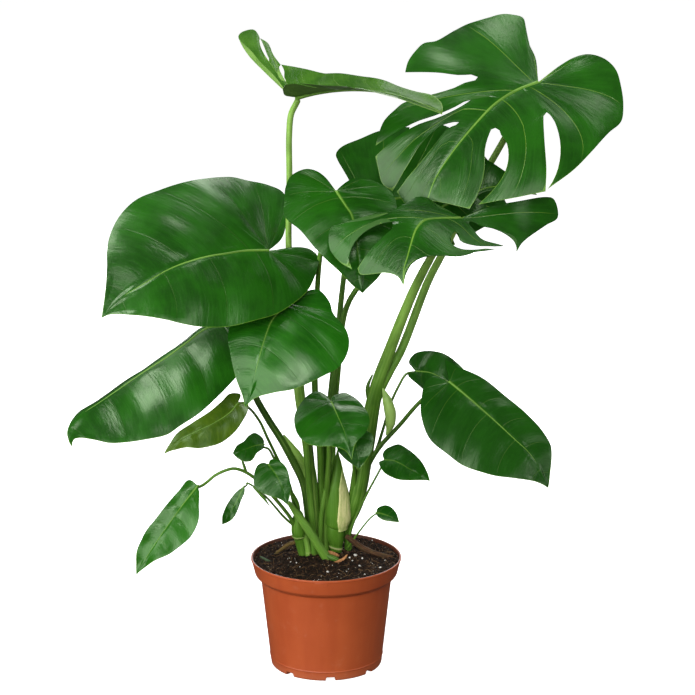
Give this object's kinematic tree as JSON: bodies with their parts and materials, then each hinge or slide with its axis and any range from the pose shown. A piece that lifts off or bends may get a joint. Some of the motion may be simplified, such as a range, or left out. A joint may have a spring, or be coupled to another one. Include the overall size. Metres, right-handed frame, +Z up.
{
  "type": "potted plant",
  "caption": "Tall leafy houseplant with heart-shaped and split leaves on long stalks, growing from dark potting mix in a tapered nursery pot with a rim band.",
  "frame": {"origin": "middle of the pot's underside, on the surface that it stands on", "axes": "+Z up, -Y towards the viewer of the picture, +X to the viewer's right"},
  "size_m": [0.5499, 0.2805, 0.6547],
  "materials": {
    "pot_plastic": "satin terracotta-coloured moulded plastic",
    "potting_mix": "moist, crumbly dark brown potting mix with pale specks",
    "stem": "smooth waxy green stalk",
    "pale_stem": "smooth waxy pale green sheath",
    "leaf": "glossy, thick dark green leaf with soft wide highlights",
    "pale_leaf": "glossy mid green younger leaf",
    "olive_leaf": "satin olive green leaf underside",
    "bark": "rough brown aerial root",
    "olive_root": "dull olive brown root",
    "husk": "dry papery sheath scale"
  },
  "bodies": {
    "root": {"pot": "pot_plastic", "soil": "potting_mix", "stem_main": "stem", "stem_left": "stem", "young_leaf": "pale_stem", "blade_big_left": "leaf", "blade_upper_heart": "leaf", "blade_middle": "pale_leaf", "blade_low_left": "leaf", "blade_curled": "olive_leaf", "blade_small_blunt": "leaf", "blade_small_heart": "leaf", "blade_hanging_left": "pale_leaf", "blade_hanging_drop": "leaf", "blade_centre": "leaf", "blade_centre_back": "leaf", "blade_right": "leaf", "blade_right_back": "leaf", "blade_small_right": "leaf", "blade_tiny_right": "pale_leaf", "blade_split_right": "leaf", "blade_split_front": "leaf", "blade_split_back": "leaf", "blade_back_right": "leaf", "blade_split_top": "leaf", "root_right": "bark", "root_left": "olive_root", "root_green": "olive_root", "husk_beige": "husk", "husk_orange": "husk"}
  },
  "joints": []
}
